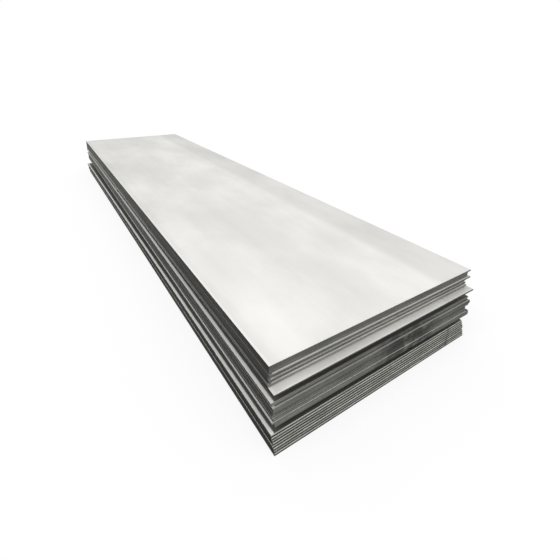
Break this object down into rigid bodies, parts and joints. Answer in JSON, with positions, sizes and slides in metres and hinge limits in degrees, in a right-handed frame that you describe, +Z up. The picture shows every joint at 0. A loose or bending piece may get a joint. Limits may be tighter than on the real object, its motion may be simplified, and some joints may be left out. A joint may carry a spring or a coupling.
{
  "type": "stack of steel plates",
  "caption": "Stockyard stack of loose flat steel plates in uneven lifts, with timber spacers between the lifts so that slings can pass through.",
  "frame": {"origin": "middle of the underside of the lowest plate, on the floor", "axes": "+X across the plates, +Y along them towards the far end, +Z up"},
  "size_m": [1.5694, 6.0563, 0.52],
  "materials": {
    "plate_steel": "pale mill finish with darker sheared edges",
    "spacer_timber": "sawn, weathered"
  },
  "bodies": {
    "root": {"bottom_plate_01": "plate_steel", "bottom_plate_02": "plate_steel", "bottom_plate_03": "plate_steel", "bottom_plate_04": "plate_steel", "bottom_plate_05": "plate_steel", "bottom_plate_06": "plate_steel", "bottom_plate_07": "plate_steel", "bottom_plate_08": "plate_steel", "middle_plate_01": "plate_steel", "middle_plate_02": "plate_steel", "middle_plate_03": "plate_steel", "middle_plate_04": "plate_steel", "middle_plate_05": "plate_steel", "middle_plate_06": "plate_steel", "middle_plate_07": "plate_steel", "middle_plate_08": "plate_steel", "middle_plate_09": "plate_steel", "middle_plate_10": "plate_steel", "middle_plate_11": "plate_steel", "middle_plate_12": "plate_steel", "middle_plate_13": "plate_steel", "middle_plate_14": "plate_steel", "middle_plate_15": "plate_steel", "top_plate_01": "plate_steel", "top_plate_02": "plate_steel", "top_plate_03": "plate_steel", "top_plate_04": "plate_steel", "top_plate_05": "plate_steel", "top_plate_06": "plate_steel", "top_plate_07": "plate_steel", "top_plate_08": "plate_steel", "top_plate_09": "plate_steel", "top_plate_10": "plate_steel", "top_plate_11": "plate_steel", "top_plate_12": "plate_steel", "top_plate_13": "plate_steel", "lower_spacer_1": "spacer_timber", "lower_spacer_2": "spacer_timber", "lower_spacer_3": "spacer_timber", "lower_spacer_4": "spacer_timber", "lower_spacer_5": "spacer_timber", "lower_spacer_6": "spacer_timber", "upper_spacer_1": "spacer_timber", "upper_spacer_2": "spacer_timber", "upper_spacer_3": "spacer_timber", "upper_spacer_4": "spacer_timber", "upper_spacer_5": "spacer_timber", "upper_spacer_6": "spacer_timber"}
  },
  "joints": []
}
